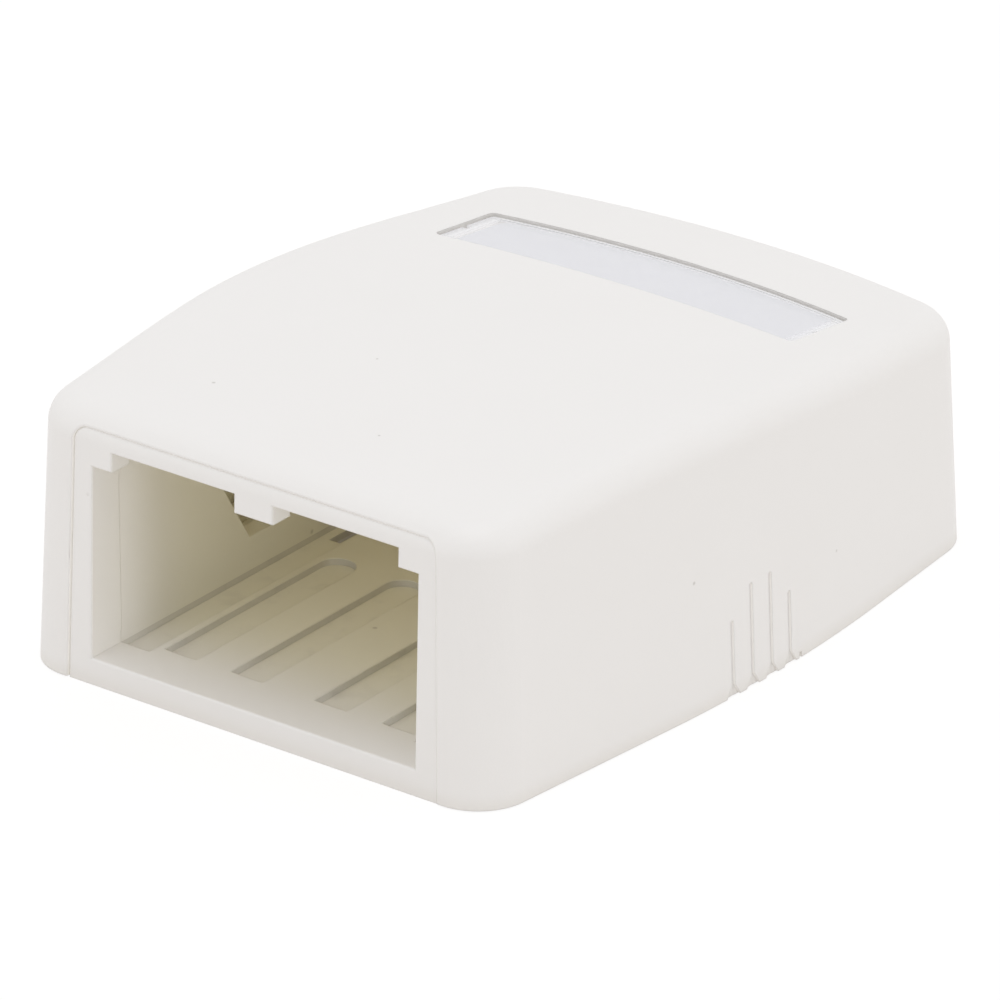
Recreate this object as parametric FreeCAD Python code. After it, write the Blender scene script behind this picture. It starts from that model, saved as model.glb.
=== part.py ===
import FreeCAD, Part

# Surface mount box for two snap-in jacks: a flat tray with a front frame, and a hollow cover that
# drops over it.  Millimetres, +Z up.  The origin is the middle of the footprint on the mounting
# surface, the open jack frame looks towards -Y, and X is the symmetry direction.

import math
import os

V = FreeCAD.Vector

# ---- outer form -----------------------------------------------------------------------------
LENGTH = 66.5                # front face to the crown of the bowed rear wall
FRONT_WIDTH = 45.1           # at the foot of the front face, before its corners are rounded
SHOULDER_WIDTH = 52.15       # where the two straight stretches of a side would meet
SHOULDER_SETBACK = 34.2      # front face to that meeting point
REAR_WIDTH = 46.2            # between the sides, run on to the crown of the rear wall
SHOULDER_EASE = 13.66        # each side of it, where an arc starts to ease one into the other
REAR_RADIUS = 81.0           # of the bowed rear wall
FRONT_CORNER_RADIUS = 4.55
REAR_CORNER_RADIUS = 5.4
SIDE_DRAFT = 2.5             # degrees, as are the other drafts
FRONT_DRAFT = 1.8
REAR_DRAFT = 2.5
FRONT_DROP = 0.65            # the front edge of the top lies this far below the crest
REAR_DROP = 3.93             # and the rear edge this far
CREST_SETBACK = 21.8         # front face to the crest
TOP_EDGE_RADIUS = 2.6

# ---- cover ----------------------------------------------------------------------------------
WALL = 2.0                   # side, front and rear walls of the cover
TOP_WALL = 2.0
COVER_OVER_FRAME = 1.4       # strip of the cover's front between the frame and the top
NOTCH_EDGE_RADIUS = 0.15     # eased edge of the cover round the frame
INNER_EDGE_RADIUS = 0.6
COVER_LIFT_GAP = 0.1         # foot of the cover above the mounting surface
NIB_LENGTH = 8.0             # catch nibs inside the two long walls
NIB_HEIGHT = 0.8
NIB_PROUD = 0.2
NIB_SETBACK = 32.0           # front face to the middle of a nib
REST_RIB_SETBACKS = (39.0, 53.0)
REST_RIB_THICK = 1.0
REST_RIB_REACH = 1.5         # how far a rest rib stands in from the wall

# ---- finger grips in the long walls ---------------------------------------------------------
GRIP_HEIGHTS = (6.5, 8.8, 8.8, 6.3)
GRIP_FIRST_SETBACK = 28.1    # front face to the first groove
GRIP_PITCH = 2.43
GRIP_HALF_WIDTH = 0.21
GRIP_DEPTH = 0.24
SCALLOP_HALF_WIDTH = 0.8     # each groove flares out at the foot of the wall
SCALLOP_HEIGHT = 1.4
SCALLOP_DEPTH = 0.22
PRY_NOTCH_OFFSET = 1.35      # last groove to the small pry notch
PRY_NOTCH_WIDTH = 0.3
PRY_NOTCH_HEIGHT = 0.6
PRY_NOTCH_DEPTH = 0.6

# ---- cable knock-out in the rear wall -------------------------------------------------------
KNOCKOUT_WIDTH = 12.0
KNOCKOUT_HEIGHT = 8.0
KNOCKOUT_CORNER = 2.5
SCORE_WIDTH = 0.5
SCORE_DEPTH = 0.8

# ---- label recess, card and window ----------------------------------------------------------
LABEL_HALF_WIDTH = 17.5
LABEL_FRONT_SETBACK = 46.15  # front face to the recess's front corners
LABEL_REAR_SETBACK = 53.95   # front face to its rear corners
LABEL_FRONT_BOW = 1.25       # both long edges curve with the rear wall
LABEL_REAR_BOW = 1.85
LABEL_CORNER = 0.5
RECESS_DEPTH = 0.62
CARD_THICK = 0.12
CARD_MARGIN = 0.15           # recess wall to card, along its two long edges
CARD_END_MARGIN = 1.2        # and at its two short ends
CARD_CORNER = 1.4
WINDOW_SINK = 0.28           # top of the window below the cover's top
WINDOW_GAP = 0.12            # recess wall to window
WINDOW_REST_GAP = 0.02       # card to window
WINDOW_NOTCH_LENGTH = 0.6    # pry notch in each end of the window
WINDOW_NOTCH_DEPTH = 0.5

# ---- tray and front frame -------------------------------------------------------------------
FIT_GAP = 0.3                # cover's inner wall to the tray
FLOOR = 2.2                  # floor thickness, which is also the sill height
LIP_HEIGHT = 1.3             # rim of the tray above its floor
LIP_THICK = 1.2
FRAME_HALF_WIDTH_TOP = 17.35
FRAME_HALF_WIDTH_FOOT = 17.9
FRAME_LINTEL = 1.45          # frame above the opening
FRAME_CORNER = 1.2
FRAME_RECESS = 0.2           # front of the frame behind the cover's front wall
FRAME_THICK = 2.8
FRAME_EDGE_RADIUS = 0.2      # eased edges of its face, round the outside and the opening
PARTING_GAP = 0.03           # cover's notch to the frame
FLANGE_REACH = 1.3           # frame's hidden flange behind the cover's front wall
FLANGE_THICK = 1.0
FLANGE_DROP = 0.35           # top of the flange below the top of the opening
OPENING_WIDTH = 31.3
OPENING_HEIGHT = 17.65
CORNER_BLOCK = 1.9           # stop blocks in the two upper corners of the opening
CORNER_BLOCK_HEIGHT = 1.6
TAB_WIDTH = 3.7              # centre tab that parts the two jacks
TAB_HEIGHT = 1.57

# ---- jack guides and floor ------------------------------------------------------------------
GUIDE_STEP = 0.06            # guide wall face outboard of the opening's side
GUIDE_THICK = 1.7
GUIDE_HEIGHT = 16.0          # above the floor
GUIDE_HEAD = 12.1            # front face to the rear of a guide at its top
GUIDE_HEEL = 20.0            # and to where its slope meets the low wall behind it
LOW_WALL_HEIGHT = 2.8        # above the floor
LOW_WALL_REAR = 35.0
LANE_WIDTH = 3.2
LANE_DEPTH = 0.6
LANE_FRONT = 4.9             # front face to the square end of each lane
LANE_REAR = 26.0             # and to its rounded end
LANE_SPREAD = 6.5            # distance between the two lanes of one jack
JACK_PITCH = 14.65
EDGE_LANE_WIDTH = 2.9        # strip beside each guide, as deep as the lanes
EDGE_LANE_FRONT = 3.9
TIE_SLOT_WIDTH = 1.1
TIE_SLOT_LENGTH = 4.5
TIE_SLOT_X = 14.3
TIE_SLOT_FRONT = 28.95       # front face to the near end of each cable-tie slot

# ---- fixing to the wall ---------------------------------------------------------------------
SCREW_HOLE_RADIUS = 2.1
SCREW_BOSS_RADIUS = 4.0
SCREW_BOSS_HEIGHT = 1.0      # above the floor
FRONT_SCREW_SETBACK = 29.4
SCREW_SPACING = 29.0
CABLE_HOLE_WIDTH = 12.0
CABLE_HOLE_LENGTH = 7.0
CABLE_HOLE_SETBACK = 37.75   # front face to the middle of the hole
PAD_WIDTH = 34.0
PAD_LENGTHS = (15.0, 11.0)
PAD_SETBACKS = (14.2, 48.0)  # front face to the middle of each pad
PAD_CORNER = 1.5
FOAM_THICK = 0.6
LINER_THICK = 0.1
PAD_POCKET_GAP = 0.3

PAD_NAMES = ("front", "rear")
OVERSHOOT = 5.0              # how far cutting tools run past what they cut
FRONT_Y = -LENGTH / 2
REAR_Y = LENGTH / 2
OPENING_TOP = FLOOR + OPENING_HEIGHT
FRAME_TOP = OPENING_TOP + FRAME_LINTEL
HEIGHT = FRAME_TOP + COVER_OVER_FRAME + FRONT_DROP   # at the crest of the top


def tan(degrees):
    return math.tan(math.radians(degrees))


def box(x0, x1, y0, y1, z0, z1):
    return Part.makeBox(x1 - x0, y1 - y0, z1 - z0, V(x0, y0, z0))


def mirrored(shape):
    return shape.mirror(V(0, 0, 0), V(1, 0, 0))


def both_sides(shape):
    return shape.fuse(mirrored(shape))


def edge(a, b):
    return Part.LineSegment(a, b).toShape()


def arc(a, middle, b):
    return Part.Arc(a, middle, b).toShape()


def prism(edges, direction):
    return Part.Face(Part.Wire(edges)).extrude(direction)


# ---- plan, crown and the solid between them -------------------------------------------------
def eased_corner(before, corner, after, radius):
    """Start, middle and end of the arc of that radius that rounds a corner between two lines."""
    to_before = (before - corner).normalize()
    to_after = (after - corner).normalize()
    half = to_before.getAngle(to_after) / 2
    inward = (to_before + to_after).normalize()
    centre = corner + inward * (radius / math.sin(half))
    reach = radius / math.tan(half)
    return corner + to_before * reach, centre - inward * radius, corner + to_after * reach


def plan_wire(z, inset):
    """The footprint at height z: straight front, bent sides, bowed rear."""
    side = inset + z * tan(SIDE_DRAFT)
    front = FRONT_Y + inset + z * tan(FRONT_DRAFT)
    radius = REAR_RADIUS - inset - z * tan(REAR_DRAFT)
    bow_y = REAR_Y - REAR_RADIUS
    shoulder_y = FRONT_Y + SHOULDER_SETBACK
    front_slope = (SHOULDER_WIDTH - FRONT_WIDTH) / 2 / SHOULDER_SETBACK
    rear_slope = (REAR_WIDTH - SHOULDER_WIDTH) / 2 / (REAR_Y - shoulder_y)
    shoulder = V(SHOULDER_WIDTH / 2 - side, shoulder_y, z)
    a = V(shoulder.x + front_slope * (front - shoulder_y), front, z)

    # the side line leaves x0 abreast of the bow's centre and meets the bow a distance run behind it
    x0 = shoulder.x + rear_slope * (bow_y - shoulder_y)
    square = 1 + rear_slope ** 2
    run = (math.sqrt(square * radius ** 2 - x0 ** 2) - rear_slope * x0) / square
    b = V(x0 + rear_slope * run, bow_y + run, z)
    turn = math.atan(front_slope) - math.atan(rear_slope)
    ease = SHOULDER_EASE / math.tan(turn / 2)
    ease0, ease1, ease2 = eased_corner(a, shoulder, b, ease - inset)

    def left(p):
        return V(-p.x, p.y, p.z)

    return Part.Wire([
        edge(left(a), a), edge(a, ease0), arc(ease0, ease1, ease2), edge(ease2, b),
        arc(b, V(0, bow_y + radius, z), left(b)),
        edge(left(b), left(ease2)), arc(left(ease2), left(ease1), left(ease0)),
        edge(left(ease0), left(a)),
    ])


def plan_loft(inset, z0, z1):
    """Block with the plan's outline between two heights, its four upright corners rounded."""
    loft = Part.makeLoft([plan_wire(z0, inset), plan_wire(z1, inset)], True, True)
    for radius, outermost in ((FRONT_CORNER_RADIUS, min), (REAR_CORNER_RADIUS, max)):
        upright = [e for e in loft.Edges if abs(e.Vertexes[0].Z - e.Vertexes[-1].Z) > (z1 - z0) / 2]
        row = outermost(e.CenterOfMass.y for e in upright)
        loft = loft.makeFillet(radius - inset, [e for e in upright if abs(e.CenterOfMass.y - row) < 0.1])
    return loft


def crown_curve(drop):
    """Side view of the top: a slight climb to the crest, then a longer fall to the rear."""
    crest_y = FRONT_Y + CREST_SETBACK
    rear_run = REAR_Y - crest_y
    front_slope = FRONT_DROP / CREST_SETBACK
    top = HEIGHT - drop
    points = [
        V(0, FRONT_Y - OVERSHOOT, top - FRONT_DROP - front_slope * OVERSHOOT),
        V(0, FRONT_Y + CREST_SETBACK / 2, top - FRONT_DROP * 0.55),
        V(0, crest_y, top - FRONT_DROP * 0.12),
        V(0, crest_y + rear_run / 2, top - REAR_DROP * 0.44),
        V(0, REAR_Y + OVERSHOOT, top - REAR_DROP * (1 + 1.15 * OVERSHOOT / rear_run)),
    ]
    curve = Part.BSplineCurve()
    curve.interpolate(points)
    return curve.toShape(), points[0], points[-1]


def below_crown(drop):
    """Everything under the top surface lowered by drop."""
    curve, start, end = crown_curve(drop)
    low0 = V(0, start.y, -2 * OVERSHOOT)
    low1 = V(0, end.y, -2 * OVERSHOOT)
    profile = [curve, edge(end, low1), edge(low1, low0), edge(low0, start)]
    body = prism(profile, V(2 * SHOULDER_WIDTH, 0, 0))
    body.translate(V(-SHOULDER_WIDTH, 0, 0))
    return body


def crowned_body(inset, drop, foot, edge_radius):
    """The outer form drawn in by inset, its top lowered by drop, its foot at height foot."""
    body = plan_loft(inset, foot, HEIGHT + 1).common(below_crown(drop)).Solids[0]
    if edge_radius:
        top = max(body.Faces, key=lambda f: f.CenterOfMass.z)
        body = body.makeFillet(edge_radius, top.OuterWire.Edges)
    return body


# ---- shared outlines ------------------------------------------------------------------------
def frame_outline(gap, y0, y1):
    """Front frame, slightly wider at its foot, with rounded upper corners, grown by gap."""
    foot = FRAME_HALF_WIDTH_FOOT + gap
    head = FRAME_HALF_WIDTH_TOP + gap
    top = FRAME_TOP + gap
    low = -OVERSHOOT
    lean = (foot - head) / top
    corner = V(head, y0, top)
    foot_point = V(foot - lean * low, y0, low)
    rise0, rise1, rise2 = eased_corner(foot_point, corner, V(0, y0, top), FRAME_CORNER + gap)

    def left(p):
        return V(-p.x, p.y, p.z)

    outline = [
        edge(left(foot_point), foot_point), edge(foot_point, rise0), arc(rise0, rise1, rise2),
        edge(rise2, left(rise2)), arc(left(rise2), left(rise1), left(rise0)),
        edge(left(rise0), left(foot_point)),
    ]
    return prism(outline, V(0, y1 - y0, 0))


def label_prism(margin, corner, end_margin=None):
    """The curved band of the label recess drawn in by margin, as an upright block."""
    half = LABEL_HALF_WIDTH - (margin if end_margin is None else end_margin)
    short = 1 - (half / LABEL_HALF_WIDTH) ** 2      # share of each bow beyond the drawn-in ends
    front_middle = FRONT_Y + LABEL_FRONT_SETBACK + LABEL_FRONT_BOW + margin
    rear_middle = FRONT_Y + LABEL_REAR_SETBACK + LABEL_REAR_BOW - margin
    front = front_middle - LABEL_FRONT_BOW * (1 - short)
    rear = rear_middle - LABEL_REAR_BOW * (1 - short)
    z = HEIGHT / 2
    right_front, right_rear = V(half, front, z), V(half, rear, z)
    left_front, left_rear = V(-half, front, z), V(-half, rear, z)
    outline = [
        arc(left_front, V(0, front_middle, z), right_front),
        edge(right_front, right_rear),
        arc(right_rear, V(0, rear_middle, z), left_rear),
        edge(left_rear, left_front),
    ]
    block = prism(outline, V(0, 0, HEIGHT))
    upright = [e for e in block.Edges if abs(e.Vertexes[0].Z - e.Vertexes[-1].Z) > 1]
    return block.makeFillet(corner, upright)


# ---- cover ----------------------------------------------------------------------------------
def grip_grooves():
    """Four finger grooves of the right-hand wall, of even depth and with round heads."""
    outboard = SHOULDER_WIDTH / 2 + OVERSHOOT
    grooves = []
    for i, height in enumerate(GRIP_HEIGHTS):
        y = FRONT_Y + GRIP_FIRST_SETBACK + i * GRIP_PITCH
        head_z = height - GRIP_HALF_WIDTH
        slot = box(outboard / 2, outboard, y - GRIP_HALF_WIDTH, y + GRIP_HALF_WIDTH, -1, head_z)
        head = Part.makeCylinder(GRIP_HALF_WIDTH, outboard / 2, V(outboard / 2, y, head_z), V(1, 0, 0))
        grooves.append(slot.fuse(head).cut(crowned_body(GRIP_DEPTH, 0, -1, 0)))
    return grooves


def wall_foot_cuts():
    """Flares at the feet of the grooves and the small pry notch, for the right-hand wall."""
    outboard = SHOULDER_WIDTH / 2 + OVERSHOOT
    inboard = outboard / 2
    cuts = []
    for i in range(len(GRIP_HEIGHTS)):
        y = FRONT_Y + GRIP_FIRST_SETBACK + i * GRIP_PITCH
        foot_l = V(inboard, y - SCALLOP_HALF_WIDTH, COVER_LIFT_GAP - 0.01)
        foot_r = V(inboard, y + SCALLOP_HALF_WIDTH, COVER_LIFT_GAP - 0.01)
        peak = V(inboard, y, SCALLOP_HEIGHT)
        flare = prism([edge(foot_l, peak), edge(peak, foot_r), edge(foot_r, foot_l)],
                      V(outboard - inboard, 0, 0))
        cuts.append(flare.cut(crowned_body(SCALLOP_DEPTH, 0, -1, 0)))
    notch_y = FRONT_Y + GRIP_FIRST_SETBACK + (len(GRIP_HEIGHTS) - 1) * GRIP_PITCH + PRY_NOTCH_OFFSET
    notch = box(inboard, outboard, notch_y - PRY_NOTCH_WIDTH / 2, notch_y + PRY_NOTCH_WIDTH / 2,
                -1, PRY_NOTCH_HEIGHT)
    cuts.append(notch.cut(crowned_body(PRY_NOTCH_DEPTH, 0, -1, 0)))
    return cuts


def knockout_score():
    """Ring that scores the outline of the cable knock-out into the rear wall."""
    def arch(grow):
        half = KNOCKOUT_WIDTH / 2 + grow
        top = KNOCKOUT_HEIGHT + grow
        block = box(-half, half, REAR_Y / 2, REAR_Y + OVERSHOOT, -1, top)
        upper = [e for e in block.Edges
                 if abs(e.CenterOfMass.z - top) < 0.01 and abs(abs(e.CenterOfMass.x) - half) < 0.01]
        return block.makeFillet(KNOCKOUT_CORNER + grow, upper)

    return arch(SCORE_WIDTH / 2).cut(arch(-SCORE_WIDTH / 2))


def rest_ribs(cavity):
    """Short ribs inside the long walls that sit over the tray's rim and carry the cover."""
    foot = FLOOR + LIP_HEIGHT + WINDOW_GAP
    ribs = []
    core = crowned_body(WALL + REST_RIB_REACH, TOP_WALL, -1, 0)
    for setback in REST_RIB_SETBACKS:
        y = FRONT_Y + setback
        slab = box(0, SHOULDER_WIDTH, y, y + REST_RIB_THICK, foot, HEIGHT)
        rib = slab.common(cavity).cut(core)
        trimmed = rib.common(box(REAR_WIDTH / 4, SHOULDER_WIDTH, y, y + REST_RIB_THICK, foot, HEIGHT))
        ribs.append(trimmed)
    return ribs


def notch_edges(cover):
    """The outer edges of the cover round the frame."""
    ring = frame_outline(PARTING_GAP + 0.01, FRONT_Y - OVERSHOOT, FRONT_Y + WALL / 2)
    return [e for e in cover.Edges
            if ring.isInside(e.CenterOfMass, 0.05, True) and e.BoundBox.YMax < FRONT_Y + WALL
            and e.Length > 2 * PARTING_GAP and e.BoundBox.ZLength + e.BoundBox.XLength > 0.5]


def make_cover():
    outer = crowned_body(0, 0, COVER_LIFT_GAP, TOP_EDGE_RADIUS)
    cavity = crowned_body(WALL, TOP_WALL, -1, INNER_EDGE_RADIUS)
    cover = outer.cut(cavity)

    for rib in rest_ribs(cavity):
        cover = cover.fuse(both_sides(rib))

    nib_y = FRONT_Y + NIB_SETBACK
    nib_z = FLOOR / 2
    nib = box(0, SHOULDER_WIDTH, nib_y - NIB_LENGTH / 2, nib_y + NIB_LENGTH / 2,
              nib_z - NIB_HEIGHT / 2, nib_z + NIB_HEIGHT / 2)
    nib = nib.common(cavity).cut(crowned_body(WALL + NIB_PROUD, TOP_WALL, -1, 0))
    cover = cover.fuse(both_sides(nib))

    cover = cover.cut(frame_outline(PARTING_GAP, FRONT_Y - OVERSHOOT,
                                    FRONT_Y + FRAME_RECESS + FRAME_THICK + PARTING_GAP))
    cover = cover.makeFillet(NOTCH_EDGE_RADIUS, notch_edges(cover))

    for tool in grip_grooves() + wall_foot_cuts():
        cover = cover.cut(both_sides(tool))
    cover = cover.cut(knockout_score().cut(crowned_body(SCORE_DEPTH, 0, -1, 0)))

    recess = label_prism(0, LABEL_CORNER).cut(below_crown(RECESS_DEPTH))
    return cover.cut(recess)


def make_label_card():
    block = label_prism(CARD_MARGIN, CARD_CORNER, CARD_END_MARGIN)
    block = block.common(below_crown(RECESS_DEPTH - CARD_THICK))
    return block.cut(below_crown(RECESS_DEPTH))


def make_label_window():
    under = RECESS_DEPTH - CARD_THICK - WINDOW_REST_GAP
    block = label_prism(WINDOW_GAP, LABEL_CORNER - WINDOW_GAP).common(below_crown(WINDOW_SINK))
    end = LABEL_HALF_WIDTH - WINDOW_GAP
    middle = FRONT_Y + (LABEL_FRONT_SETBACK + LABEL_REAR_SETBACK) / 2
    notch = box(end - WINDOW_NOTCH_DEPTH, end + 1, middle - WINDOW_NOTCH_LENGTH / 2,
                middle + WINDOW_NOTCH_LENGTH / 2, HEIGHT / 2, HEIGHT)
    return block.cut(below_crown(under)).cut(both_sides(notch))


# ---- base -----------------------------------------------------------------------------------
def jack_guide():
    """Right-hand guide wall: upright front, sloping rear, then a low wall that runs on."""
    inner = OPENING_WIDTH / 2 + GUIDE_STEP
    front = FRONT_Y + FRAME_RECESS + FRAME_THICK - LIP_THICK
    side = [
        (front, 1.0), (FRONT_Y + LOW_WALL_REAR, 1.0), (FRONT_Y + LOW_WALL_REAR, FLOOR + LOW_WALL_HEIGHT),
        (FRONT_Y + GUIDE_HEEL, FLOOR + LOW_WALL_HEIGHT), (FRONT_Y + GUIDE_HEAD, FLOOR + GUIDE_HEIGHT),
        (front, FLOOR + GUIDE_HEIGHT),
    ]
    corners = [V(inner, y, z) for y, z in side]
    loop = [edge(a, b) for a, b in zip(corners, corners[1:] + corners[:1])]
    return prism(loop, V(GUIDE_THICK, 0, 0))


def floor_lanes():
    """Recessed lanes that the jacks slide along, square in front and rounded behind."""
    lanes = []
    low = FLOOR - LANE_DEPTH
    for jack in (-1, 1):
        for lane in (-1, 1):
            x = jack * JACK_PITCH / 2 + lane * LANE_SPREAD / 2
            half = LANE_WIDTH / 2
            y0 = FRONT_Y + LANE_FRONT
            y1 = FRONT_Y + LANE_REAR - half
            lanes.append(prism([
                edge(V(x - half, y1, low), V(x - half, y0, low)),
                edge(V(x - half, y0, low), V(x + half, y0, low)),
                edge(V(x + half, y0, low), V(x + half, y1, low)),
                arc(V(x + half, y1, low), V(x, y1 + half, low), V(x - half, y1, low)),
            ], V(0, 0, LANE_DEPTH + 1)))
    outer = OPENING_WIDTH / 2 + GUIDE_STEP
    strip = box(outer - EDGE_LANE_WIDTH, outer, FRONT_Y + EDGE_LANE_FRONT, FRONT_Y + LOW_WALL_REAR,
                low, FLOOR + 1)
    return lanes + [strip, mirrored(strip)]


def opening_block():
    """The jack opening less its corner blocks and centre tab, right through the frame."""
    half = OPENING_WIDTH / 2
    top = OPENING_TOP
    shelf = top - CORNER_BLOCK_HEIGHT
    tab = TAB_WIDTH / 2
    right = [
        (tab, top - TAB_HEIGHT), (tab, top), (half - CORNER_BLOCK, top), (half - CORNER_BLOCK, shelf),
        (half, shelf), (half, FLOOR),
    ]
    front = FRONT_Y - OVERSHOOT
    corners = [V(x, front, z) for x, z in right] + [V(-x, front, z) for x, z in reversed(right)]
    loop = [edge(a, b) for a, b in zip(corners, corners[1:] + corners[:1])]
    return prism(loop, V(0, 2 * OVERSHOOT, 0))


def frame_side_view():
    """Block behind the frame's face, which follows the cover's front and top edge, set back."""
    low = -1.0
    face_y = FRONT_Y + FRAME_RECESS
    top = HEIGHT - FRONT_DROP - FRAME_RECESS
    width = 2 * FRAME_HALF_WIDTH_FOOT + OVERSHOOT
    x = -width / 2
    foot = V(x, face_y + low * tan(FRONT_DRAFT), low)
    corner = V(x, face_y + top * tan(FRONT_DRAFT), top)
    rear = V(x, FRONT_Y + CREST_SETBACK, top + FRONT_DROP)
    rise0, rise1, rise2 = eased_corner(foot, corner, rear, TOP_EDGE_RADIUS - FRAME_RECESS)
    low_rear = V(x, rear.y, low)
    profile = [edge(foot, rise0), arc(rise0, rise1, rise2), edge(rise2, rear), edge(rear, low_rear),
               edge(low_rear, foot)]
    return prism(profile, V(width, 0, 0))


def frame_panel():
    """Front frame with its opening, the edges of its face eased."""
    panel = frame_outline(0, FRONT_Y - OVERSHOOT, FRONT_Y + FRAME_RECESS + FRAME_THICK)
    panel = panel.common(frame_side_view()).common(box(-LENGTH, LENGTH, -LENGTH, LENGTH, 0, HEIGHT))
    panel = panel.cut(opening_block())
    reach = FRAME_THICK / 2
    eased = []
    for e in panel.Edges:
        at = e.CenterOfMass
        on_face = at.y - FRONT_Y - FRAME_RECESS - at.z * tan(FRONT_DRAFT) < reach
        smooth = OPENING_TOP + 0.1 < at.z < FRAME_TOP - 0.1 and e.BoundBox.XLength > OPENING_WIDTH / 2
        if on_face and not smooth and e.BoundBox.YLength < reach and at.z > FLOOR / 2:
            eased.append(e)
    return panel.makeFillet(FRAME_EDGE_RADIUS, eased)


def pad_block(index, grow, z0, z1):
    """Block of one adhesive pad, front or rear, grown by grow."""
    y = FRONT_Y + PAD_SETBACKS[index]
    half_x = PAD_WIDTH / 2 + grow
    half_y = PAD_LENGTHS[index] / 2 + grow
    block = box(-half_x, half_x, y - half_y, y + half_y, z0, z1)
    upright = [e for e in block.Edges if abs(e.Vertexes[0].Z - e.Vertexes[-1].Z) > (z1 - z0) / 2]
    return block.makeFillet(PAD_CORNER + grow, upright)


def make_base():
    rim_inset = WALL + FIT_GAP
    rim_top = FLOOR + LIP_HEIGHT
    base = plan_loft(rim_inset, 0, rim_top)
    base = base.cut(plan_loft(rim_inset + LIP_THICK, FLOOR, rim_top + 1))

    flange_half = FRAME_HALF_WIDTH_TOP + FLANGE_REACH
    flange_top = OPENING_TOP - FLANGE_DROP
    flange_back = FRONT_Y + FRAME_RECESS + FRAME_THICK + FLANGE_THICK
    flange = box(-flange_half, flange_half, FRONT_Y, flange_back, 0, flange_top)
    base = base.fuse(flange.common(crowned_body(rim_inset, TOP_WALL + FIT_GAP, 0, 0)))
    base = base.cut(box(-OPENING_WIDTH / 2, OPENING_WIDTH / 2, -LENGTH, flange_back, FLOOR, HEIGHT))
    base = base.fuse(frame_panel())

    for hole in (0, 1):
        y = FRONT_Y + FRONT_SCREW_SETBACK + hole * SCREW_SPACING
        base = base.fuse(Part.makeCylinder(SCREW_BOSS_RADIUS, FLOOR / 2 + SCREW_BOSS_HEIGHT,
                                           V(0, y, FLOOR / 2)))
    for lane in floor_lanes():
        base = base.cut(lane)
    base = base.fuse(both_sides(jack_guide()))

    slot_y = FRONT_Y + TIE_SLOT_FRONT
    slot = box(TIE_SLOT_X - TIE_SLOT_WIDTH / 2, TIE_SLOT_X + TIE_SLOT_WIDTH / 2,
               slot_y, slot_y + TIE_SLOT_LENGTH, -1, FLOOR + 1)
    base = base.cut(both_sides(slot))

    for hole in (0, 1):
        y = FRONT_Y + FRONT_SCREW_SETBACK + hole * SCREW_SPACING
        base = base.cut(Part.makeCylinder(SCREW_HOLE_RADIUS, 2 * OVERSHOOT, V(0, y, -1)))
    hole_y = FRONT_Y + CABLE_HOLE_SETBACK
    base = base.cut(box(-CABLE_HOLE_WIDTH / 2, CABLE_HOLE_WIDTH / 2, hole_y - CABLE_HOLE_LENGTH / 2,
                        hole_y + CABLE_HOLE_LENGTH / 2, -1, FLOOR + 1))

    pocket_top = LINER_THICK + FOAM_THICK
    for index in range(len(PAD_NAMES)):
        base = base.cut(pad_block(index, PAD_POCKET_GAP, -1, pocket_top))

    nib_y = FRONT_Y + NIB_SETBACK
    groove = box(0, SHOULDER_WIDTH, nib_y - NIB_LENGTH / 2 - FIT_GAP, nib_y + NIB_LENGTH / 2 + FIT_GAP,
                 FLOOR / 2 - NIB_HEIGHT / 2 - FIT_GAP, FLOOR / 2 + NIB_HEIGHT / 2 + FIT_GAP)
    groove = groove.cut(crowned_body(rim_inset + NIB_PROUD + FIT_GAP, TOP_WALL, -1, 0))
    return base.cut(both_sides(groove))


# ---- write one file for each piece ----------------------------------------------------------
os.makedirs("parts", exist_ok=True)
pieces = {
    "base": make_base(),
    "cover": make_cover(),
    "label_card": make_label_card(),
    "label_window": make_label_window(),
}
for index, place in enumerate(PAD_NAMES):
    pieces["foam_pad_" + place] = pad_block(index, 0, LINER_THICK, LINER_THICK + FOAM_THICK)
    pieces["pad_liner_" + place] = pad_block(index, 0, 0, LINER_THICK)

for name, shape in pieces.items():
    shape = shape.removeSplitter()
    print(name, "solids", len(shape.Solids), "valid", shape.isValid(), "mm3", round(shape.Volume, 1))
    shape.exportStep("parts/" + name + ".step")
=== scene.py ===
import math

import bpy
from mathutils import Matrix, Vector


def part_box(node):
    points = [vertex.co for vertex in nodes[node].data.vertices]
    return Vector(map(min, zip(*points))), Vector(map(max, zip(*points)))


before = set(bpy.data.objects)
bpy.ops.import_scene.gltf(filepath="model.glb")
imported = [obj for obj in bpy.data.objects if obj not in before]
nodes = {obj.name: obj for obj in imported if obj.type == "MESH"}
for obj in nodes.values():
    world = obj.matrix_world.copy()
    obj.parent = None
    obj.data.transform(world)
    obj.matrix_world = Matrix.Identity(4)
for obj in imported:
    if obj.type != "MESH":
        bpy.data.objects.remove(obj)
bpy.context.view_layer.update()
MM = 0.001

# ---- Cover --------------------------------------------------------------------------------------
# The cover is one thin shell moulded in off-white ABS.  Its tool was spark-eroded, which leaves a
# fine satin grain, and every edge of the tool is broken by a tenth of a millimetre.  A little dust
# and a few rub marks from handling sit on the outside.
RESIN = (0.866, 0.850, 0.838)
RESIN_WORN_AND_SHADED = (0.800, 0.770, 0.730)      # the same resin where it is rubbed, and painted shade at the wall's foot
RESIN_SHADE_AND_DUST = (0.560, 0.540, 0.500)   # painted shade on recess and lane walls, mixed with dust in the lanes
RESIN_INSIDE = (0.893, 0.872, 0.755)    # where light has gone from wall to wall
SPECK = (0.34, 0.31, 0.27)
EDGE_BREAK = 0.13 * MM
GRAIN_SIZE = 0.22 * MM
GRAIN_DEPTH = 0.006 * MM
FOOT = 1.6 * MM                         # painted shade darkens the wall over this height above the floor
PAINTED_GLOW_COLOUR = (1.0, 0.98, 0.90)       # painted glow that stands for daylight come through the thin wall
SEAM_LIGHT = 0.10                       # how much of it shows in the seam round the frame and in the grip grooves
JAMB_LIGHT = 0.11                       # and just inside the opening
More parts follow.
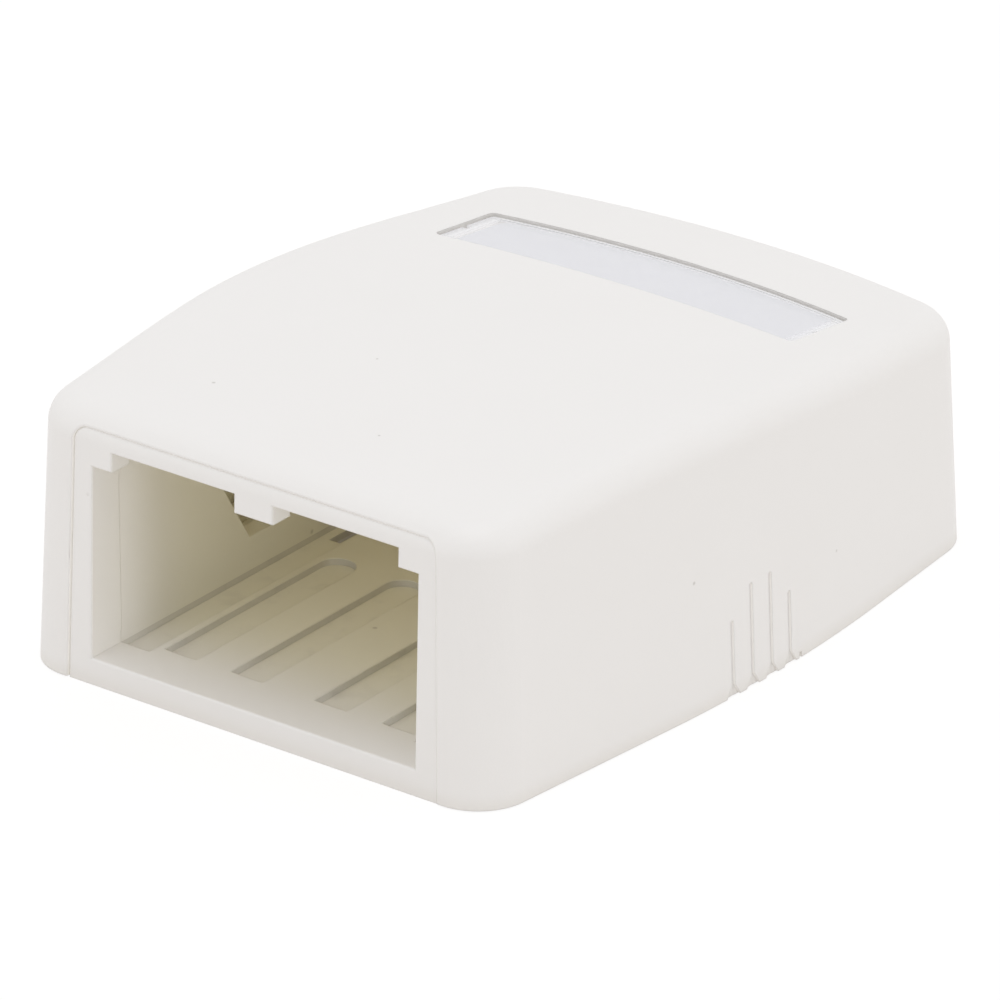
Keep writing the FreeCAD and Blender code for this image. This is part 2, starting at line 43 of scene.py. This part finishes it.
SEAM_DEPTH = 1.9 * MM
SEAM_HALF_WIDTH = 18.2 * MM
SEAM_MARGIN = 0.1 * MM                  # the seam reaches this far above the base
INSIDE_START = 1 * MM                   # the painted tint of bounced light begins this far behind the front
INSIDE_END = 14 * MM                    # and is full from here on
MOUTH_SHARE = 0.15                      # of it shows on the cover's walls at the front already
FOOT_SHADE = 0.55
RUB_SIZE = 14 * MM
RUB_WEAR = 0.22
SPECK_STRENGTH = 0.42
SPECK_CORE = 0.2                        # of a speck's radius is evenly dark
SPECK_LUMP = 0.25 * MM
RECESS_MARGIN = 1 * MM                  # the label recess goes this far round the strip
RECESS_DROP = 0.8 * MM                  # and this far below it
RECESS_SHADE = 0.5
GRIP_BAND = 1.2 * MM                    # the grips lie within this of the cover's full width
ABS = {"roughness": 0.46, "ior": 1.5, "specular_ior_level": 0.42, "emission_strength": 1.0}

cover_low, cover_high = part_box("cover")
frame_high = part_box("base")[1]
strip_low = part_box("label_window")[0]
front = cover_low.y


class Value:
    """A socket of a finish that goes into sums and products as a number does."""

    def __init__(self, finish, socket):
        self.finish = finish
        self.socket = socket

    def maths(self, operation, first, second=0.0):
        inputs = {0: first, 1: second}
        return self.finish.node("ShaderNodeMath", {"operation": operation}, inputs)

    def __add__(self, other):
        return self.maths("ADD", self, other)

    __radd__ = __add__

    def __sub__(self, other):
        return self.maths("SUBTRACT", self, other)

    def __rsub__(self, other):
        return self.maths("SUBTRACT", other, self)

    def __mul__(self, other):
        return self.maths("MULTIPLY", self, other)

    __rmul__ = __mul__

    def __truediv__(self, other):
        return self.maths("DIVIDE", self, other)

    def __lt__(self, other):
        return self.maths("LESS_THAN", self, other)

    def __gt__(self, other):
        return self.maths("GREATER_THAN", self, other)

    def __abs__(self):
        return self.maths("ABSOLUTE", self)

    def larger(self, other):
        return self.maths("MAXIMUM", self, other)

    def ease(self, start, end):
        """0 before start, 1 after end, and smooth between them."""
        settings = {"interpolation_type": "SMOOTHSTEP"}
        return self.finish.node("ShaderNodeMapRange", settings, {"Value": self, 1: start, 2: end})


class Shading:
    """The shader nodes of a material or of the world."""

    def __init__(self, owner):
        owner.use_nodes = True
        self.nodes = owner.node_tree.nodes
        self.links = owner.node_tree.links

    def node(self, kind, settings=None, inputs=None, output=0):
        """Adds a node, settings first, and gives one of its outputs."""
        made = self.nodes.new(kind)
        for name, value in (settings or {}).items():
            setattr(made, name, value)
        for key, value in (inputs or {}).items():
            self.feed(made.inputs[key], value)
        return Value(self, made.outputs[output])

    def feed(self, socket, value):
        if isinstance(value, Value):
            self.links.new(value.socket, socket)
        else:
            socket.default_value = value


class Finish(Shading):
    """A material, its shader, and the place on the object that its patterns follow."""

    def __init__(self, name, **fixed):
        self.material = bpy.data.materials.new(name)
        super().__init__(self.material)
        self.shader = self.nodes["Principled BSDF"]
        self.wear(**fixed)
        self.place = self.node("ShaderNodeTexCoord", output="Object")
        self.x, self.y, self.z = self.split(self.place)
        self.normal = self.node("ShaderNodeNewGeometry", output="True Normal")
        self.across, self.ahead, self.up = self.split(self.normal)

    def split(self, vector):
        return [self.node("ShaderNodeSeparateXYZ", {}, {0: vector}, axis) for axis in "XYZ"]

    def blend(self, amount, first, second):
        """Goes from the first colour to the second as amount goes from 0 to 1."""
        pair = {6: first, 7: second}
        for key, value in pair.items():
            if isinstance(value, tuple):
                pair[key] = (*value, 1.0)
        return self.node("ShaderNodeMix", {"data_type": "RGBA"}, {0: amount, **pair}, "Result")

    def noise(self, size, detail=2.0):
        """Noise about 0 whose lumps are that size."""
        inputs = {"Vector": self.place, "Scale": 1 / size, "Detail": detail}
        return self.node("ShaderNodeTexNoise", {}, inputs) - 0.5

    def wear(self, **sockets):
        """Feeds the shader's sockets, each named in lower case with underscores."""
        for name, value in sockets.items():
            title = name.replace("_", " ").title().replace("Ior", "IOR")
            self.feed(self.shader.inputs[title], value)
        return self.material


def depth_inside(finish):
    """0 at the open front, 1 where light only comes from wall to wall."""
    return finish.y.ease(front + INSIDE_START, front + INSIDE_END)


def inward(finish, centre):
    """1 on faces that look towards the centre of the box, 0 on faces that look away from it."""
    from_centre = finish.node("ShaderNodeVectorMath", {"operation": "SUBTRACT"},
                              {0: finish.place, 1: centre})
    facing = finish.node("ShaderNodeVectorMath", {"operation": "DOT_PRODUCT"},
                         {0: finish.normal, 1: from_centre}, "Value")
    return facing < 0.0


def turned_from(facing, start=0.5, end=0.8):
    """1 on faces turned away from an axis, 0 on faces that look along it."""
    return 1 - abs(facing).ease(start, end)


def resin_finish(resin, inside, shade_and_dust, through, specks):
    """Off-white satin ABS with fine grain, rubs and dirt, painted shade at its foot and in
    crevices, a painted warm tint of bounced light inside, and a painted glow in seams and grooves.
    """
    foot = 1 - resin.z.ease(0.0, FOOT)
    rubbed = abs(resin.noise(RUB_SIZE)) * RUB_WEAR
    # painted shade at the foot of the wall, with real rub marks
    colour = resin.blend(foot * FOOT_SHADE + rubbed, RESIN, RESIN_WORN_AND_SHADED)
    # painted warm tint of light bounced inside the box
    colour = resin.blend(inside, colour, RESIN_INSIDE)
    # painted shade on recess and lane walls, with real dust in the lanes
    colour = resin.blend(shade_and_dust, colour, RESIN_SHADE_AND_DUST)

    for x, y, z, radius in specks:
        spot = {0: resin.place, 1: (x * MM, y * MM, z * MM)}
        away = resin.node("ShaderNodeVectorMath", {"operation": "DISTANCE"}, spot, "Value")
        ragged = away + 0.5 * radius * MM * resin.noise(SPECK_LUMP)
        dark = 1 - ragged.ease(SPECK_CORE * radius * MM, radius * MM)
        colour = resin.blend(dark * SPECK_STRENGTH, colour, SPECK)

    edges = resin.node("ShaderNodeBevel", {"samples": 6}, {"Radius": EDGE_BREAK})
    grain = resin.noise(GRAIN_SIZE, 3.0)
    bump = resin.node("ShaderNodeBump", {},
                      {"Distance": GRAIN_DEPTH, "Height": grain, "Normal": edges})
    roughness = ABS["roughness"] + 0.10 * resin.noise(5 * MM) + 0.06 * resin.noise(0.6 * MM)
    # painted glow where light would come through the wall
    glow = resin.blend(through, (0.0, 0.0, 0.0), PAINTED_GLOW_COLOUR)
    return resin.wear(base_color=colour, roughness=roughness, normal=bump, emission_color=glow)


def dress(name, material):
    """Gives a frame node its finish."""
    nodes[name].data.materials.clear()
    nodes[name].data.materials.append(material)


# Dirt that has caught in the grain: x, y, z and radius in millimetres.
COVER_SPECKS = [(-11.4, -22.8, 23.0, 0.22), (-3.7, -12.3, 23.3, 0.16), (4.6, -22.8, 23.0, 0.16),
                (21.8, -32.4, 18.8, 0.22), (24.5, -9.5, 11.2, 0.22), (24.4, -7.1, 19.5, 0.16),
                (25.2, -1.3, 13.8, 0.20), (25.4, -0.9, 10.6, 0.18), (25.0, 8.8, 7.1, 0.20),
                (-24.8, 4.1, 12.6, 0.20), (-24.9, -6.3, 7.4, 0.16), (7.9, 32.6, 11.9, 0.20)]

cover = Finish("cover_resin", **ABS)
within = inward(cover, (0.0, 0.0, cover_high.z / 2))
beside_label = ((cover.y > strip_low.y - RECESS_MARGIN)
                * (cover.z > strip_low.z - RECESS_DROP))
grips = abs(cover.x) > cover_high.x - GRIP_BAND
# painted shade on the walls of the label recess
label_wall_shade = beside_label * within * turned_from(cover.up) * RECESS_SHADE
# painted warm tint of bounced light inside the cover
bounce_tint = (within * (1 - beside_label) * (1 - grips)
          * (MOUTH_SHARE + (1 - MOUTH_SHARE) * depth_inside(cover)))
# painted glow in the seam round the frame and in the grip grooves
notch = (within * (cover.y < front + SEAM_DEPTH) * (abs(cover.x) < SEAM_HALF_WIDTH)
         * (cover.z < frame_high.z + SEAM_MARGIN))
groove = grips * turned_from(cover.across)
dress("cover", resin_finish(cover, bounce_tint, label_wall_shade, (notch + groove) * SEAM_LIGHT, COVER_SPECKS))

# ---- Base ---------------------------------------------------------------------------------------
# Tray, floor lanes, jack guides and front frame are one moulding in the same resin as the cover.
# The cover drops over it, and only the frame shows from outside.
BASE_SPECKS = [(-16.0, -32.75, 15.9, 0.30), (-1.5, -15.65, 2.2, 0.30), (-15.8, -5.4, 2.5, 0.30),
               (9.2, 14.0, 2.2, 0.25)]
TRAY_BOTTOM = 1 * MM                    # the inside of the tray lies above this height
LANE_EDGE = 2.15 * MM                   # the lanes lie below this height, the floor above it
LANE_START = 3.5 * MM                   # and behind this depth
LANE_WALL_SHADE = 0.55
LANE_DUST = 0.22
DUST_SIZE = 2.5 * MM
JAMB_FULL = 3 * MM                      # the painted glow on the jamb is full up to this depth
JAMB_END = 10 * MM
RIM_HALF_WIDTH = 16.6 * MM
RIM_HEIGHT = 20.6 * MM

base = Finish("base_resin", **ABS)
in_tray = base.z > TRAY_BOTTOM
# painted warm tint of bounced light inside the tray
tray = depth_inside(base) * in_tray
sideways = turned_from(base.ahead, 0.3, 0.6)
upright = turned_from(base.up, 0.3, 0.6)
# painted glow on the jamb and in the seam round the frame
near_front = 1 - base.y.ease(front + JAMB_FULL, front + JAMB_END)
jamb = sideways * upright * near_front * in_tray
on_rim = (abs(base.x) > RIM_HALF_WIDTH) + (base.z > RIM_HEIGHT) > 0.5
rim = sideways * (base.y < front + SEAM_DEPTH) * on_rim
glowing = rim * SEAM_LIGHT + jamb * (1 - rim) * JAMB_LIGHT
# painted shade on the lane walls, and real dust on the lane floors
below_floor = (base.z < LANE_EDGE) * (base.y > front + LANE_START) * in_tray
dust = base.noise(DUST_SIZE, 4.0).ease(0.0, 0.25)
lane_shade_and_dust = below_floor * (upright * LANE_WALL_SHADE + dust * LANE_DUST)
dress("base", resin_finish(base, tray, lane_shade_and_dust, glowing, BASE_SPECKS))

# ---- Label card ---------------------------------------------------------------------------------
# A blank strip of bluish white card lies in the recess.  It is cut from sheet, so it has the faint
# cloud and fibre of uncoated card and nothing is written on it.
CARD = (0.815, 0.815, 0.840)
CARD_FIBRE = (0.750, 0.745, 0.790)
FIBRE_SIZE = 0.5 * MM
FIBRE_DEPTH = 0.01 * MM
CLOUD_SIZE = 4 * MM

card = Finish("label_card", roughness=0.75)
fibre = abs(card.noise(FIBRE_SIZE, 5.0)) * 1.2 + abs(card.noise(CLOUD_SIZE)) * 0.8
card_bump = card.node("ShaderNodeBump", {}, {"Distance": FIBRE_DEPTH, "Height": fibre})
dress("label_card", card.wear(base_color=card.blend(fibre, CARD, CARD_FIBRE), normal=card_bump))

# ---- Label window -------------------------------------------------------------------------------
# A clear strip of polished plastic snaps in over the card. Its faces hardly show. A painted
# highlight, an opaque white border on its top face and its cut edges, stands for the light that
# they catch as fine pale lines.
STRIP_BOW = 1.85 * MM
REAR_BORDER = (-0.34 * MM, -0.26 * MM)  # where the painted highlight begins and is full, from the rear edge
END_BORDER = (-1.3 * MM, -0.7 * MM)     # and from the ends
REAR_HIGHLIGHT = 0.75
END_HIGHLIGHT = 0.6                         # of the rear border's
EDGE_HIGHLIGHT = 0.6

window = Finish("clear_window", base_color=(0.95, 0.95, 0.97, 1.0), roughness=0.12)
strip_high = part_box("label_window")[1]
along = window.x / strip_high.x
rear_edge = strip_high.y - STRIP_BOW * along * along
rear_border = (window.y - rear_edge).ease(*REAR_BORDER)
end_border = (abs(window.x) - strip_high.x).ease(*END_BORDER)
# painted highlight: an opaque white border on the top face and on the cut edges
highlight_border = rear_border.larger(end_border * END_HIGHLIGHT) * (window.up > 0.5)
haze = 0.07 + abs(window.noise(3 * MM)) * 0.06
opacity = (highlight_border * REAR_HIGHLIGHT).larger(turned_from(window.up) * EDGE_HIGHLIGHT)
dress("label_window", window.wear(alpha=haze + opacity,
                                  roughness=0.10 + abs(window.noise(2 * MM)) * 0.12))
window.material.surface_render_method = "BLENDED"

# ---- Foam pads ----------------------------------------------------------------------------------
# Two pads of white closed-cell foam tape are stuck in pockets under the tray.  Cut cells show at
# their edges as fine pits.
FOAM = (0.80, 0.80, 0.77)
FOAM_PIT = (0.60, 0.59, 0.55)
CELL_SIZE = 0.25 * MM
CELL_DEPTH = 0.04 * MM

foam = Finish("pad_foam", roughness=0.9)
cell = foam.node("ShaderNodeTexVoronoi", {"feature": "DISTANCE_TO_EDGE"},
                 {"Vector": foam.place, "Scale": 1 / CELL_SIZE}, "Distance")
pit = cell.ease(0.05, 0.35)
foam_bump = foam.node("ShaderNodeBump", {"invert": True}, {"Distance": CELL_DEPTH, "Height": pit})
foam_finish = foam.wear(base_color=foam.blend(pit * 0.5, FOAM, FOAM_PIT), normal=foam_bump)
dress("foam_pad_front", foam_finish)
dress("foam_pad_rear", foam_finish)

# ---- Release liners -----------------------------------------------------------------------------
# Each pad is covered by waxed paper until it is used.  A wavy slit across the middle lets a
# fingernail start the peel.
LINER = (0.72, 0.66, 0.50)
LINER_FIBRE = (0.60, 0.53, 0.38)
SLIT_DARK = (0.30, 0.26, 0.19)
SLIT_WAVE = 9 * MM
SLIT_SWING = 0.9 * MM
SLIT_HALF_WIDTH = 0.09 * MM
SLIT_DEPTH = 0.03 * MM
PULP_SIZE = 0.7 * MM

liner = Finish("waxed_paper", roughness=0.38)
turn = liner.y * (2 * math.pi / SLIT_WAVE)
swing = turn.maths("SINE", turn)
slit = 1 - abs(liner.x - swing * SLIT_SWING).ease(0.6 * SLIT_HALF_WIDTH, SLIT_HALF_WIDTH)
pulp = abs(liner.noise(PULP_SIZE, 6.0)) * 1.4
liner_colour = liner.blend(slit, liner.blend(pulp, LINER, LINER_FIBRE), SLIT_DARK)
liner_bump = liner.node("ShaderNodeBump", {"invert": True},
                        {"Distance": SLIT_DEPTH, "Height": slit + pulp * 0.2})
liner_finish = liner.wear(base_color=liner_colour, roughness=0.34 + pulp * 0.2, normal=liner_bump)
dress("pad_liner_front", liner_finish)
dress("pad_liner_rear", liner_finish)

# ---- Floor and light ----------------------------------------------------------------------------
# The box stands on a wide pale sheet in a white tent.  The sheet shows as plain white with a faint
# shadow close to the box.  One soft lamp hangs overhead, and two weak ones stand at its sides.
FLOOR_WIDTH = 6.0
FLOOR_WHITE = (0.890, 0.862, 0.830)
WHITE_SHARE = 0.82                      # of the sheet's brightness that no shadow takes away
WHITE_GLOW = 1.06
TENT = 0.80                             # how bright the tent is as a light

bpy.ops.mesh.primitive_plane_add(size=FLOOR_WIDTH)
sheet = bpy.context.object
sheet.name = "white_sheet"
sheet_finish = Finish("white_sheet", roughness=0.95, base_color=(*FLOOR_WHITE, 1.0))


def seen_directly(shading):
    """1 for what the camera, a reflection or a clear piece shows, 0 for what lights the box."""
    by_eye, by_mirror, by_glass = [
        shading.node("ShaderNodeLightPath", output=name)
        for name in ("Is Camera Ray", "Is Glossy Ray", "Is Transmission Ray")]
    return by_eye + by_mirror + by_glass > 0.5


white = sheet_finish.node("ShaderNodeEmission", {},
                          {"Color": (1.0, 1.0, 1.0, 1.0), "Strength": WHITE_GLOW})
plain = Value(sheet_finish, sheet_finish.shader.outputs[0])
share = seen_directly(sheet_finish) * WHITE_SHARE
mixed = sheet_finish.node("ShaderNodeMixShader", {}, {0: share, 1: plain, 2: white})
sheet_finish.feed(sheet_finish.nodes["Material Output"].inputs["Surface"], mixed)
sheet.data.materials.append(sheet_finish.material)

world = bpy.data.worlds.new("tent")
bpy.context.scene.world = world
tent = Shading(world)
backdrop = tent.nodes["Background"]
seen = seen_directly(tent)
tent.feed(backdrop.inputs["Strength"], seen + (1 - seen) * TENT)
backdrop.inputs["Color"].default_value = (1.0, 1.0, 1.0, 1.0)

# name: (place, aimed at, width, power)
SOFT_BOXES = {
    "overhead": ((0.05, -0.08, 0.75), (0.0, 0.0, 0.0), 0.60, 1.02),
    "left_front": ((-0.33, -0.58, 0.18), (0.0, -0.01, 0.010), 0.40, 0.18),
    "right_rear": ((0.64, 0.22, 0.18), (0.0, 0.0, 0.010), 0.40, 0.30),
}
for name, (place, target, width, power) in SOFT_BOXES.items():
    light = bpy.data.lights.new(name, "AREA")
    light.shape = "RECTANGLE"
    light.size = width
    light.size_y = width
    light.energy = power
    box = bpy.data.objects.new(name, light)
    box.location = place
    box.rotation_euler = (Vector(target) - Vector(place)).to_track_quat("-Z", "Y").to_euler()
    bpy.context.scene.collection.objects.link(box)

# The lid is thin enough to glow.  A warm sheet of light just under it stands for what comes
# through its wall, and shows in no view itself.
LID_GLOW = 0.0010
LID_GLOW_COLOUR = (1.0, 0.80, 0.45)
LID_GLOW_WIDTH = 31 * MM
LID_GLOW_LENGTH = 52 * MM
LID_GLOW_PLACE = (0.0, -2 * MM, 18.9 * MM)
LID_SLOPE = math.radians(-2.8)

glow_sheet = bpy.data.lights.new("lid_glow", "AREA")
glow_sheet.shape = "RECTANGLE"
glow_sheet.size = LID_GLOW_WIDTH
glow_sheet.size_y = LID_GLOW_LENGTH
glow_sheet.energy = LID_GLOW
glow_sheet.color = LID_GLOW_COLOUR
under_lid = bpy.data.objects.new("lid_glow", glow_sheet)
under_lid.location = LID_GLOW_PLACE
under_lid.rotation_euler = (LID_SLOPE, 0.0, 0.0)
under_lid.visible_camera = False
under_lid.visible_glossy = False
bpy.context.scene.collection.objects.link(under_lid)

# ---- Camera -------------------------------------------------------------------------------------
# A long lens looks down on the open frame and the right-hand wall.
CAMERA_AZIMUTH = math.radians(36.998)
CAMERA_ELEVATION = math.radians(25.27)
CAMERA_DISTANCE = 0.700
CAMERA_TARGET = Vector((0.004775, -0.007854, 0.012))
SENSOR = 36.0
FOCAL_LENGTH = 326.23

towards_camera = Vector((math.sin(CAMERA_AZIMUTH) * math.cos(CAMERA_ELEVATION),
                         -math.cos(CAMERA_AZIMUTH) * math.cos(CAMERA_ELEVATION),
                         math.sin(CAMERA_ELEVATION)))
lens = bpy.data.cameras.new("camera")
lens.lens = FOCAL_LENGTH
lens.sensor_width = SENSOR
camera = bpy.data.objects.new("camera", lens)
camera.location = CAMERA_TARGET + towards_camera * CAMERA_DISTANCE
camera.rotation_euler = (-towards_camera).to_track_quat("-Z", "Y").to_euler()
bpy.context.scene.collection.objects.link(camera)
bpy.context.scene.camera = camera
bpy.context.scene.view_settings.view_transform = "Standard"
